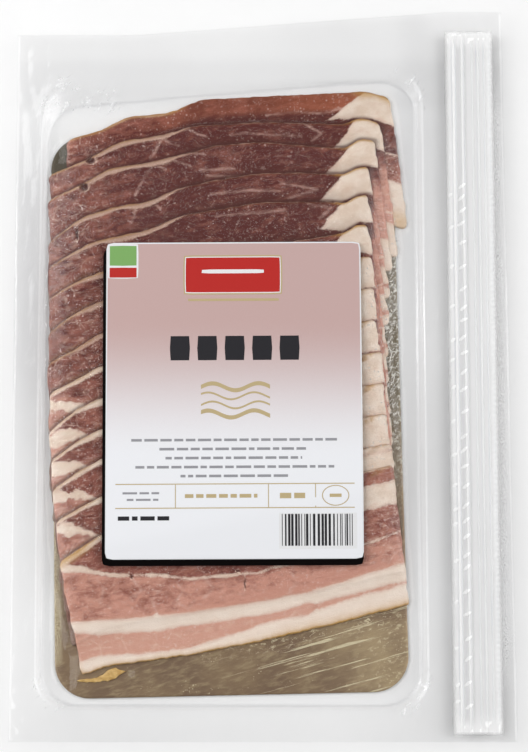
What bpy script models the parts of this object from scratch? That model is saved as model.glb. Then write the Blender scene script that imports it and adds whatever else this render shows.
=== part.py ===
"""A sealed pack of bacon, lying on its back with the label up.

The pack is a clear vacuum pouch: a flat welded margin all round, a shallow formed pocket
that holds a board with fourteen overlapping slices, and a press-to-close zip down the
right margin. A label on a black backing card sits on the film over the slices.
The pouch is one closed solid, with the film drawn down on its contents, so the steps
from slice to slice show in its upper side.

Units are metres. +Z is up out of the label, +Y points to the pack's top end and +X to
the zip. The origin is the middle of the pack's footprint, at the level it rests on.
"""
import math

import bmesh
import bpy
from mathutils import Vector

# ---------------------------------------------------------------- driving dimensions
PACK_LENGTH = 0.3176
TOP_EDGE_SKEW = 0.0106      # the pack is longer at the zip side by this much
SKEW_START = -0.058         # x where the top edge starts to climb
SKEW_END = 0.082            # x where it levels out again

FILM = 0.0005               # the welded upper and lower film together
FLANGE_Z = 0.0042           # underside of the margin
BOARD = 0.0006              # thickness of the board under the slices
STACK_BASE = FILM + BOARD
GAP = 0.0003                # air between pieces that lie on each other

SLICES = 14
SLICE_THICKNESS = 0.00186
SLICE_DEPTH = 0.0505        # from a slice's upper edge to its lower edge
STACK_LAYERS = 4            # how many slices lie over each other
STEP_RUN = 0.0012           # how far the film takes to climb one slice edge
LAST_FACE_SHARES = (0.25, 0.5, 0.75, 0.92, 1.0)

LABEL_SIZE = (0.1096, 0.1364)
LABEL_CENTRE = (-0.0119, -0.0142)
LABEL_CORNER = 0.0023
LABEL_THICKNESS = 0.00035
BACKING_SHIFT = (-0.0012, -0.0027)
LABEL_LINES = (0.17, 0.34, 0.51, 0.68, 0.85, 0.96, 0.976, 0.988, 0.9965, 1.0)

ZIP_SPAN_X = (0.0800, 0.1020)
ZIP_SPAN_Y = (-0.1560, 0.1500)
ZIP_WEB = 0.00045
ZIP_CRIMP = 0.0060          # length of each flattened end
ZIP_FADE = 0.0042           # length over which the ridges rise from the flat end
CRIMPED_RISE = 0.08         # height left to the ridges in the flat end
RIDGES = (                  # x, width and height: two locking ridges, three fine ribs
    (0.0845, 0.0015, 0.0012),
    (0.0882, 0.0015, 0.0012),
    (0.0925, 0.0007, 0.0005),
    (0.0951, 0.0007, 0.0005),
    (0.0977, 0.0007, 0.0005),
)

# Outlines of the pouch from the outside in. Each has its place in the grid, its four
# corners from the lower left one anticlockwise, its corner radius, how far its left and
# right sides bow out, and the heights of the upper and the lower film.
OUTLINES = (
    {"name": "flange", "at": 1.00, "radius": 0.0010, "bow": (0.0, 0.0),
     "corners": ((-0.1065, -0.1588), (0.1075, -0.1588), (0.1057, 0.1588), (-0.1076, 0.1482)),
     "top": FLANGE_Z + FILM, "bottom": FLANGE_Z},
    {"name": "lip", "at": 0.95, "radius": 0.0140, "bow": (0.0005, 0.0),
     "corners": ((-0.0957, -0.1463), (0.0706, -0.1463), (0.0706, 0.1330), (-0.0965, 0.1280)),
     "top": FLANGE_Z + FILM, "bottom": FLANGE_Z},
    {"name": "floor", "at": 0.92, "radius": 0.0160, "bow": (0.0010, 0.0),
     "corners": ((-0.0935, -0.1436), (0.0680, -0.1432), (0.0668, 0.1282), (-0.0947, 0.1168)),
     "top": FILM, "bottom": 0.0},
    {"name": "contents", "at": 0.89, "radius": 0.0160, "bow": (0.0022, 0.0),
     "corners": ((-0.0888, -0.1420), (0.0662, -0.1390), (0.0640, 0.1262), (-0.0936, 0.1072)),
     "top": STACK_BASE, "bottom": 0.0},
    {"name": "stack foot", "at": 0.86, "radius": 0.0060, "bow": (0.0056, -0.0040),
     "corners": ((-0.0820, -0.1340), (0.0648, -0.1035), (0.0608, 0.1246), (-0.0905, 0.1040)),
     "top": STACK_BASE, "bottom": 0.0},
    {"name": "stack", "at": 0.83, "radius": 0.0040, "bow": (0.0062, -0.0070),
     "corners": ((-0.0795, -0.1312), (0.0618, -0.0995), (0.0575, 0.1222), (-0.0885, 0.1012)),
     "top": None, "bottom": 0.0},
)
STACK = OUTLINES[-1]
STACK_COLUMNS = (0.80, 0.74, 0.64, 0.44, 0.22)

COLOURS = {                 # base colour, roughness, metallic
    "film": ((0.80, 0.80, 0.82, 1.0), 0.15, 0.0),
    "zip": ((0.72, 0.74, 0.80, 1.0), 0.20, 0.0),
    "card": ((0.82, 0.70, 0.70, 1.0), 0.45, 0.0),
    "backing": ((0.012, 0.011, 0.013, 1.0), 0.40, 0.0),
}


# ------------------------------------------------------------------------ small tools
def clamp(value, low=0.0, high=1.0):
    return max(low, min(high, value))


def both_sides(lines):
    """Grid lines on both sides of a middle one, from positive ones in rising order."""
    return [-line for line in reversed(lines)] + [0.0] + list(lines)


def quad_point(corners, across, along):
    """The point of a four-cornered outline; across runs to +X and along to +Y."""
    low_left, low_right, top_right, top_left = (Vector(corner) for corner in corners)
    return low_left.lerp(low_right, across).lerp(top_left.lerp(top_right, across), along)


def round_off(point, corners, radius):
    """Pulls a point that is close to a corner in on to the arc that rounds the corner."""
    spots = [Vector(corner) for corner in corners]
    nearest = min(range(4), key=lambda k: (point - spots[k]).length)
    corner = spots[nearest]
    sides = [(spots[(nearest + turn) % 4] - corner).normalized() for turn in (1, -1)]
    if max((point - corner).dot(side) for side in sides) >= radius:
        return point
    centre = corner + (sides[0] + sides[1]) * radius
    return centre + (point - centre).normalized() * radius


def make_material(name):
    colour, roughness, metallic = COLOURS[name]
    material = bpy.data.materials.new(name)
    material.use_nodes = True
    shader = material.node_tree.nodes["Principled BSDF"]
    shader.inputs["Base Color"].default_value = colour
    shader.inputs["Roughness"].default_value = roughness
    shader.inputs["Metallic"].default_value = metallic
    return material


def add_object(name, bm, material_name):
    mesh = bpy.data.meshes.new(name)
    bmesh.ops.recalc_face_normals(bm, faces=bm.faces)
    bmesh.ops.triangulate(bm, faces=bm.faces)
    bm.to_mesh(mesh)
    bm.free()
    mesh.materials.append(make_material(material_name))
    bpy.context.scene.collection.objects.link(bpy.data.objects.new(name, mesh))


def grid_rim(width, height):
    """The grid places round the edge of a grid, anticlockwise, as (row, column)."""
    rim = [(0, i) for i in range(width - 1)]
    rim += [(j, width - 1) for j in range(height - 1)]
    rim += [(height - 1, i) for i in range(width - 1, 0, -1)]
    return rim + [(j, 0) for j in range(height - 1, 0, -1)]


def closed_sheet(name, columns, rows, place, material_name):
    """One closed solid between an upper and a lower surface over the same grid.

    place(column, row) gives x, y and the heights of the upper and the lower surface.
    """
    bm = bmesh.new()
    spots = [[place(column, row) for column in columns] for row in rows]
    upper = [[bm.verts.new((x, y, top)) for x, y, top, _ in line] for line in spots]
    lower = [[bm.verts.new((x, y, low)) for x, y, _, low in line] for line in spots]
    for j in range(len(rows) - 1):
        for i in range(len(columns) - 1):
            for grid in (upper, lower):
                bm.faces.new((grid[j][i], grid[j][i + 1], grid[j + 1][i + 1], grid[j + 1][i]))
    rim = grid_rim(len(columns), len(rows))
    for here, there in zip(rim, rim[1:] + rim[:1]):
        ring = ((lower, here), (lower, there), (upper, there), (upper, here))
        bm.faces.new([grid[j][i] for grid, (j, i) in ring])
    add_object(name, bm, material_name)


# ------------------------------------------------------------------ the slices' relief
def stack_length():
    """Mean distance from the first slice's upper edge to the last one's lower edge."""
    low_left, low_right, top_right, top_left = STACK["corners"]
    return (top_left[1] - low_left[1] + top_right[1] - low_right[1]) / 2.0


PITCH = (stack_length() - SLICE_DEPTH) / (SLICES - 1)


def layers_under(slice_index):
    """Height in layers of a slice's upper edge; the first slices lie lower."""
    return min(slice_index + 1, STACK_LAYERS)


def crest_height(slice_index):
    return STACK_BASE + SLICE_THICKNESS * layers_under(slice_index)


def slice_height(slice_index, distance):
    """Upper side of a slice, at a distance down from its own upper edge."""
    fall = SLICE_THICKNESS * (layers_under(slice_index) - 1)
    return crest_height(slice_index) - fall * distance / SLICE_DEPTH


def stack_rows():
    """Rows down the stack: each one's distance from the top end, and its height."""
    rows = [(0.0, crest_height(0))]
    for k in range(1, SLICES):
        rows.append((k * PITCH - STEP_RUN, slice_height(k - 1, PITCH - STEP_RUN)))
        rows.append((k * PITCH, crest_height(k)))
    last = SLICES - 1
    for share in LAST_FACE_SHARES:
        distance = share * SLICE_DEPTH
        rows.append((last * PITCH + distance, slice_height(last, distance)))
    return rows


# --------------------------------------------------------------------------- the pouch
def top_edge(x):
    """The top edge of the margin, which climbs towards the zip side."""
    climb = clamp((x - SKEW_START) / (SKEW_END - SKEW_START))
    return PACK_LENGTH / 2.0 - TOP_EDGE_SKEW * (1.0 - climb)


def pouch_outline(outline, across, along):
    """A point on one of the pouch's outlines, with its bows and its rounded corners."""
    point = quad_point(outline["corners"], across, along)
    point = round_off(point, outline["corners"], outline["radius"])
    left_bow, right_bow = outline["bow"]
    swell = math.sin(math.pi * along)
    point.x += swell * (right_bow * across - left_bow * (1.0 - across))
    if outline["name"] == "flange" and along == 1.0:
        point.y = top_edge(point.x)
    return point


def make_pouch():
    """The whole shut pouch, from the margin's edge in to the slices."""
    rings = [outline["at"] for outline in OUTLINES]
    columns = both_sides(sorted(list(STACK_COLUMNS) + rings))
    stack_heights = {}
    for distance, height in stack_rows():
        stack_heights[STACK["at"] * (1.0 - 2.0 * distance / stack_length())] = height
    margins = rings[:-1]
    rows = sorted([-ring for ring in margins] + list(stack_heights) + margins)

    def place(column, row):
        reach = max(abs(column), abs(row))
        outline = next((o for o in OUTLINES[:-1] if abs(o["at"] - reach) < 1e-9), STACK)
        across = clamp(0.5 * (1.0 + column / outline["at"]))
        along = clamp(0.5 * (1.0 + row / outline["at"]))
        point = pouch_outline(outline, across, along)
        top = stack_heights[row] if outline is STACK else outline["top"]
        return point.x, point.y, top, outline["bottom"]

    closed_sheet("pouch", columns, rows, place, "film")


# --------------------------------------------------------------------------- the label
def label_sag(x, y):
    """How far the label bends down with the last slice, below that slice's upper edge."""
    along = 1.0 - (SLICES - 1) * PITCH / stack_length()
    left = quad_point(STACK["corners"], 0.0, along)
    right = quad_point(STACK["corners"], 1.0, along)
    edge = (right - left).normalized()
    below = (Vector((x, y)) - left).dot(Vector((edge.y, -edge.x)))
    slope = SLICE_THICKNESS * (STACK_LAYERS - 1) / SLICE_DEPTH
    return slope * max(0.0, below)


def make_label_layer(name, shift, level, material_name):
    """A rectangular sheet with round corners that lies over the slices."""
    centre = Vector(LABEL_CENTRE) + Vector(shift)

    def place(column, row):
        scale = max(abs(column), abs(row), 1e-6)
        half = [size * scale / 2.0 for size in LABEL_SIZE]
        corners = [(centre.x + half[0] * side_x, centre.y + half[1] * side_y)
                   for side_x, side_y in ((-1, -1), (1, -1), (1, 1), (-1, 1))]
        point = quad_point(corners, 0.5 * (1.0 + column / scale), 0.5 * (1.0 + row / scale))
        point = round_off(point, corners, LABEL_CORNER * scale)
        bottom = level - label_sag(point.x, point.y)
        return point.x, point.y, bottom + LABEL_THICKNESS, bottom

    lines = both_sides(LABEL_LINES)
    closed_sheet(name, lines, lines, place, material_name)


def make_label():
    """The front label and, showing past its left and lower edges, its black backing."""
    level = crest_height(SLICES - 1) + GAP
    make_label_layer("label_backing", BACKING_SHIFT, level, "backing")
    make_label_layer("label", (0.0, 0.0), level + LABEL_THICKNESS + GAP, "card")


# ----------------------------------------------------------------------------- the zip
def zip_section(rise):
    """The zip's outline across its length; rise is 1 in full and near 0 where crimped."""
    base = FLANGE_Z + FILM + GAP
    web = base + ZIP_WEB
    left, right = ZIP_SPAN_X
    outline = [(left, base), (left, web)]
    for x, width, height in RIDGES:
        crown = web + height * rise
        outline += [(x - 0.50 * width, web), (x - 0.32 * width, crown)]
        outline += [(x + 0.32 * width, crown), (x + 0.50 * width, web)]
    return outline + [(right, web), (right, base)]


def make_zip():
    """The press-to-close strip in the right margin, flattened at both ends."""
    low, high = ZIP_SPAN_Y
    full = ZIP_CRIMP + ZIP_FADE
    stations = ((low, CRIMPED_RISE), (low + ZIP_CRIMP, CRIMPED_RISE), (low + full, 1.0),
                (high - full, 1.0), (high - ZIP_CRIMP, CRIMPED_RISE), (high, CRIMPED_RISE))
    bm = bmesh.new()
    loops = [[bm.verts.new((x, y, z)) for x, z in zip_section(rise)] for y, rise in stations]
    for near, far in zip(loops, loops[1:]):
        for k, vertex in enumerate(near):
            following = (k + 1) % len(near)
            bm.faces.new((vertex, near[following], far[following], far[k]))
    bm.faces.new(loops[0])
    bm.faces.new(loops[-1][::-1])
    add_object("zip_strip", bm, "zip")


def main():
    for leftover in list(bpy.data.objects):
        bpy.data.objects.remove(leftover, do_unlink=True)
    make_pouch()
    make_label()
    make_zip()


main()
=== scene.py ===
"""Looks of the bacon pack: film, slices, board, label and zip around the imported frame."""

import math

import bpy
import numpy as np
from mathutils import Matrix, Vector


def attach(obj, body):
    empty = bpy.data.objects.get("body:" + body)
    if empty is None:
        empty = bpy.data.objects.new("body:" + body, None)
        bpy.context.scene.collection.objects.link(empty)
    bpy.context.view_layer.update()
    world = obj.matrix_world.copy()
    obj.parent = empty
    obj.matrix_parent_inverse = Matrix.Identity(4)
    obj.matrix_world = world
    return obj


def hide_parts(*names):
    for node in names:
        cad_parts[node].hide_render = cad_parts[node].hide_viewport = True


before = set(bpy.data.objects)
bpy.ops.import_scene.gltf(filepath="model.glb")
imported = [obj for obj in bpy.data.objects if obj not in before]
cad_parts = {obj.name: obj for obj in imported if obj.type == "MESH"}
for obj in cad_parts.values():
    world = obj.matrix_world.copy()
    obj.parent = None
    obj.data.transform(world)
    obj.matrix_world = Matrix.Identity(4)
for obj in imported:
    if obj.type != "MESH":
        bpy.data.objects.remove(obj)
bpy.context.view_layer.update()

# ------------------------------------------------------------------ sizes, millimetres
MM = 0.001
FLANGE_TOP = 4.7            # upper side of the welded margin
FLANGE_BOTTOM = 4.2
BOARD_BOTTOM = 0.5
BOARD_TOP = 1.1
SLICE_THICKNESS = 1.55
SLICE_DEPTH = 57.0
LEFT_SHIFT = -0.7           # the slices' left ends, beyond the first point of each edge
LEFT_SLANTS = (0.10, 0.12, 0.04, 0.03, 0.03, 0.03, 0.03, 0.03, 0.04, 0.06, 0.08, 0.10,
               0.12, 0.165)
PRESSED = 0.4               # how far the film's pull presses a slice into the one below
RELIEF = 0.19               # how far the slices' surface rises above its mean height
FILM_GAP = 0.06             # the film lies this far off what it covers
LABEL_LEVEL = 9.12          # underside of the backing card before it bends down
LABEL_SLOPE = 0.1105        # how steeply the label follows the last slice down
CARD = 0.35                 # thickness of each card
CARD_GAP = 0.30             # between the backing card and the label
FILM_ROUNDS = 46            # steps in which the film is drawn down on the contents
FILM_PULL = 0.035           # how far a free point of the film sinks in one step
SETTLE_ROUNDS = 60          # how softly a slice bends over what lies under it
EDGE_SHARE = 0.22           # a slice's height at its outline, as a share of the whole
EDGE_ROUND = 0.9            # how far in from its outline a slice is rounded

# A slice's upper edge, from its left end to its right end, in mm on the pack.
UPPER_EDGES = (
    ((-85.5, 101.8), (-70.7, 106.3), (-58.9, 112.6), (-41.3, 114.0), (-26.4, 120.3),
     (21.6, 122.6), (46.8, 123.9), (56.4, 120.8)),
    ((-92.6, 86.0), (-77.8, 91.8), (-61.7, 100.8), (-43.7, 103.4), (-30.0, 107.8),
     (0.0, 109.4), (30.0, 108.6), (35.5, 108.2), (40.9, 111.0), (47.0, 111.0), (52.5, 108.5)),
    ((-92.6, 74.8), (-79.7, 80.2), (-67.1, 87.8), (-48.4, 91.0), (-30.0, 95.4),
     (-20.0, 98.4), (0.0, 99.8), (28.0, 97.4), (37.0, 97.0), (42.5, 101.6), (49.5, 100.6)),
    ((-92.6, 55.8), (-77.1, 66.4), (-62.4, 70.8), (-50.3, 72.6), (-36.4, 78.6),
     (-20.0, 82.4), (0.0, 85.4), (20.0, 85.6), (36.0, 84.8), (42.0, 88.6), (46.5, 88.2)),
    ((-91.9, 44.7), (-73.1, 54.8), (-49.3, 60.1), (-34.6, 66.4), (0.0, 72.2),
     (30.0, 72.4), (36.5, 71.6), (41.5, 75.6), (46.0, 75.6)),
    ((-91.7, 30.6), (-80.2, 37.2), (-69.4, 41.6), (36.0, 58.5), (41.0, 62.5), (46.2, 62.0)),
    ((-91.9, 15.4), (-80.9, 23.2), (-69.3, 28.9), (45.0, 48.2)),
    ((-91.7, 1.9), (-79.8, 8.0), (-69.1, 14.9), (44.9, 34.2)),
    ((-91.1, -11.1), (-79.6, -5.5), (-69.0, 0.6), (44.8, 20.2)),
    ((-90.4, -27.0), (-79.5, -18.4), (-68.8, -13.3), (46.4, 6.2)),
    ((-89.8, -39.9), (-79.3, -32.2), (-68.7, -26.6), (48.5, -7.2)),
    ((-88.8, -52.3), (-79.1, -45.4), (-68.5, -39.5), (52.6, -20.1)),
    ((-87.3, -65.9), (-78.9, -61.2), (-68.3, -55.5), (54.2, -33.0)),
    ((-85.4, -82.8), (-77.4, -77.7), (-68.2, -71.8), (56.3, -42.0)),
)
RIGHT_ENDS = (57.0, 52.3, 49.4, 46.5, 46.2, 46.2, 47.5, 48.3, 49.5, 51.8, 52.5, 53.7, 55.8, 56.4)
RIGHT_SLANTS = (0.115, 0.125, 0.13, 0.16, 0.16, 0.15, 0.13, 0.13, 0.12, 0.09, 0.09, 0.09,
                0.08, 0.105)
LAST_LOWER_EDGE = ((-77.3, -131.6), (-65.1, -127.4), (-32.5, -123.0), (0.9, -116.6),
                   (31.5, -109.5), (62.5, -101.3))
# Borders of the bands of fat in the last slice, which the others repeat.
SEAM = ((-85.8, -87.0), (-76.5, -86.1), (-68.0, -88.7), (-60.8, -89.5), (-44.3, -88.7),
        (-33.8, -90.3), (-25.3, -90.3), (-10.9, -88.7), (0.9, -87.4), (44.6, -75.6),
        (58.6, -70.5))
BAND_TOP = ((-81.5, -108.8), (-60.8, -107.5), (-32.5, -105.0), (0.9, -100.0), (24.6, -94.9),
            (43.8, -88.6), (62.5, -83.1))
BAND_LOW = ((-80.7, -113.8), (-46.9, -113.0), (-32.5, -110.9), (0.9, -105.4), (31.4, -98.7),
            (61.6, -91.1))
RIND_TOP = ((-79.4, -125.5), (-60.8, -122.2), (-43.0, -121.3), (-28.7, -118.8), (0.9, -109.6),
            (22.1, -104.5), (36.6, -99.1), (60.8, -92.7))
# Thin pale lines on the slices: slice number and points. Near the rims they are lines of fat that
# branch off; some of the long, nearly level ones across the middle of the top slices are painted
# highlights, pale streaks of light on the film.
FAT_LINES_AND_STREAKS = (
    (2, (-43.6, 102.0), (-46.2, 97.0), (-48.7, 92.0)),
    (2, (-43.0, 101.5), (-40.0, 99.3), (-36.5, 98.3)),
    (3, (-47.6, 89.6), (-51.8, 82.7), (-55.3, 75.6)),
    (3, (-47.6, 89.6), (-44.0, 88.4), (-42.0, 87.0)),
    (4, (-53.4, 72.0), (-54.9, 69.0), (-56.5, 63.0)),
    (4, (-47.5, 72.0), (-44.0, 69.5)),
    (2, (-43.5, 102.6), (-38.0, 104.6), (-32.5, 106.0), (-27.5, 103.6), (-24.0, 102.4)),
    (2, (-14.0, 103.0), (-6.0, 104.3), (4.0, 103.4), (17.0, 102.8)),
    (3, (-36.0, 93.4), (-30.0, 94.6), (-25.5, 94.2)),
    (3, (-38.0, 91.0), (-31.0, 88.8)),
    (3, (-27.0, 87.0), (-12.0, 87.6)),
    (3, (-24.0, 84.6), (-10.0, 84.0)),
    (4, (-22.0, 76.0), (-5.0, 77.6), (8.0, 77.2)),
    (5, (-20.0, 66.0), (-2.0, 67.4), (10.0, 68.6)),
    (1, (2.0, 112.6), (14.0, 114.4), (26.0, 113.6), (40.0, 117.0)),
    (2, (19.5, 108.0), (26.0, 104.0), (22.0, 100.5)),
    (5, (20.0, 71.5), (30.0, 69.5), (25.0, 65.0)),
    (4, (8.0, 81.0), (24.0, 78.0), (12.0, 74.0)),
    (14, (-44.6, -105.0), (-46.4, -99.6), (-43.8, -96.4), (-47.4, -94.2)),
    (14, (-69.8, -91.0), (-67.0, -94.4), (-68.4, -100.6), (-64.0, -103.0)),
    (14, (-54.6, -91.0), (-51.0, -95.6), (-56.0, -99.4)),
    (14, (-37.0, -90.6), (-33.4, -95.8), (-36.4, -100.2), (-31.0, -103.4)),
    (14, (-24.0, -90.6), (-20.6, -94.6), (-24.4, -98.6)),
    (14, (12.6, -88.2), (15.0, -92.4), (11.4, -96.6)),
    (14, (33.0, -80.4), (36.0, -84.4), (31.6, -88.6)),
)
# How much deeper than in the last slice the seam of fat lies, by slice number.
SEAM_SHIFTS = {1: 0.0, 8: 6.0, 9: 4.5, 10: 3.4, 11: 2.6, 12: 2.0, 13: 1.0, 14: 0.0}
# Small dark veins in the lean: slice number, place, half width and half height.
VEINS = (
    (2, -75.0, 91.7, 1.9, 1.3), (3, -77.6, 79.6, 1.7, 1.7), (4, -80.2, 58.6, 0.6, 2.6),
    (14, -55.3, -89.6, 0.6, 0.9), (14, -7.2, -92.6, 0.35, 2.4), (14, -10.2, -87.2, 0.8, 0.45),
)

GRID_STEP = 0.75            # mm between the points of the height maps
GRID_X = np.arange(-112.0, 112.1, GRID_STEP)
GRID_Y = np.arange(-164.0, 164.1, GRID_STEP)


# ------------------------------------------------------------------------ number tools
def smoothstep(value):
    value = np.clip(value, 0.0, 1.0)
    return value * value * (3.0 - 2.0 * value)


def ramp(value, low, high):
    """0 at low, 1 at high, with soft ends; low may be above high."""
    return smoothstep((value - low) / (high - low))


def noise(x, y, size, seed):
    """A smooth random field between -1 and 1 with blobs about size across."""
    table = np.random.default_rng(seed).uniform(-1.0, 1.0, (128, 128))
    u = np.asarray(x) / size + 57.3
    v = np.asarray(y) / size + 41.7
    i = np.floor(u).astype(int)
    j = np.floor(v).astype(int)
    fu = smoothstep(u - i)
    fv = smoothstep(v - j)
    i, i2, j, j2 = i % 128, (i + 1) % 128, j % 128, (j + 1) % 128
    low = table[i, j] * (1 - fu) + table[i2, j] * fu
    high = table[i, j2] * (1 - fu) + table[i2, j2] * fu
    return low * (1 - fv) + high * fv


def curve_through(points, softness=2.0):
    """A function y(x) through the points, rounded, and straight past its ends."""
    xs, ys = np.array(points, dtype=float).T
    start = (ys[1] - ys[0]) / (xs[1] - xs[0])
    end = (ys[-1] - ys[-2]) / (xs[-1] - xs[-2])
    xs = np.concatenate(([xs[0] - 60.0], xs, [xs[-1] + 60.0]))
    ys = np.concatenate(([ys[0] - 60.0 * start], ys, [ys[-1] + 60.0 * end]))
    fine = np.arange(-150.0, 150.0, 0.5)
    values = np.interp(fine, xs, ys)
    reach = int(3 * softness / 0.5)
    kernel = np.exp(-0.5 * (np.arange(-reach, reach + 1) * 0.5 / softness) ** 2)
    padded = np.pad(values, reach, mode="reflect", reflect_type="odd")
    values = np.convolve(padded, kernel / kernel.sum(), mode="valid")
    return lambda x: np.interp(x, fine, values)


def sample(height, x, y):
    """Reads a height map at any points."""
    u = np.clip((x - GRID_X[0]) / GRID_STEP, 0, len(GRID_X) - 1.001)
    v = np.clip((y - GRID_Y[0]) / GRID_STEP, 0, len(GRID_Y) - 1.001)
    i = u.astype(int)
    j = v.astype(int)
    fu = u - i
    fv = v - j
    low = height[i, j] * (1 - fu) + height[i + 1, j] * fu
    high = height[i, j + 1] * (1 - fu) + height[i + 1, j + 1] * fu
    return low * (1 - fv) + high * fv


def blur(height, rounds):
    """Softens a height map by averaging each point with its neighbours."""
    for _ in range(rounds):
        padded = np.pad(height, 1, mode="edge")
        height = (padded[:-2, 1:-1] + padded[2:, 1:-1] + padded[1:-1, :-2]
                  + padded[1:-1, 2:] + 4.0 * padded[1:-1, 1:-1]) / 8.0
    return height


def inside_distance(sides, radius):
    """Distance in from the outline that the sides bound, with round corners."""
    over = sum(np.maximum(radius - side, 0.0) ** 2 for side in sides)
    nearest = np.minimum.reduce(sides)
    return np.where(over > 0.0, radius - np.sqrt(over), nearest)


def lines(*stretches):
    """Grid lines from stretches of (start, end, spacing), each used once."""
    spots = []
    for start, end, step in stretches:
        count = max(1, int(round((end - start) / step)))
        spots.extend(start + (end - start) * n / count for n in range(count))
    spots.append(stretches[-1][1])
    return np.array(spots)


# -------------------------------------------------------------------------- mesh tools
def closed_sheet(name, x, y, top, bottom, attributes=None, sharp=None):
    """A closed skin from a grid of points in mm, with an upper and a lower side."""
    columns, rows = x.shape
    upper = np.stack([x, y, top], axis=-1).reshape(-1, 3)
    lower = np.stack([x, y, bottom], axis=-1).reshape(-1, 3)
    points = np.concatenate([upper, lower]) * MM
    index = np.arange(columns * rows).reshape(columns, rows)
    quads = np.stack([index[:-1, :-1], index[1:, :-1], index[1:, 1:], index[:-1, 1:]],
                     axis=-1).reshape(-1, 4)
    rim = np.concatenate([index[:-1, 0], index[-1, :-1], index[:0:-1, -1], index[0, :0:-1]])
    after = np.roll(rim, -1)
    offset = columns * rows
    walls = np.stack([rim, rim + offset, after + offset, after], axis=-1)
    faces = np.concatenate([quads, quads[:, ::-1] + offset, walls])
    mesh = bpy.data.meshes.new(name)
    mesh.vertices.add(len(points))
    mesh.vertices.foreach_set("co", points.astype(np.float32).ravel())
    mesh.loops.add(faces.size)
    mesh.loops.foreach_set("vertex_index", faces.astype(np.int32).ravel())
    mesh.polygons.add(len(faces))
    mesh.polygons.foreach_set("loop_start", np.arange(0, faces.size, 4, dtype=np.int32))
    mesh.update(calc_edges=True)
    mesh.validate()
    mesh.shade_smooth()
    if sharp is not None:
        mesh.set_sharp_from_angle(angle=math.radians(sharp))
    for key, values in (attributes or {}).items():
        layer = mesh.attributes.new(key, "FLOAT", "POINT")
        both = np.concatenate([values.ravel(), values.ravel()])
        layer.data.foreach_set("value", both.astype(np.float32))
    piece = bpy.data.objects.new(name, mesh)
    bpy.context.scene.collection.objects.link(piece)
    return piece


def finish_piece(piece, material, replaces=None):
    piece.data.materials.append(material)
    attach(piece, "root")
    if replaces:
        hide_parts(replaces)
    return piece


def rounded_grid(centre, half, radius, turn, across, along):
    """Points of a grid that fills a rectangle with round corners, ring by ring."""
    a, b = np.meshgrid(across, along, indexing="ij")
    scale = np.maximum(np.maximum(np.abs(a), np.abs(b)), 1e-6)
    x = a * half[0]
    y = b * half[1]
    inner_x = np.maximum(half[0] - radius, 0.0) * scale
    inner_y = np.maximum(half[1] - radius, 0.0) * scale
    over_x = np.abs(x) - inner_x
    over_y = np.abs(y) - inner_y
    corner = (over_x > 0) & (over_y > 0)
    length = np.maximum(np.hypot(over_x, over_y), 1e-9)
    x = np.where(corner, np.sign(x) * (inner_x + over_x / length * radius * scale), x)
    y = np.where(corner, np.sign(y) * (inner_y + over_y / length * radius * scale), y)
    cos, sin = math.cos(turn), math.sin(turn)
    return centre[0] + x * cos - y * sin, centre[1] + x * sin + y * cos


def even_lines(count, edge=0.985):
    """Lines from -1 to 1, with one more close to each end for a crisp edge."""
    inner = np.linspace(-edge, edge, count)
    return np.concatenate([[-1.0], inner, [1.0]])


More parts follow.
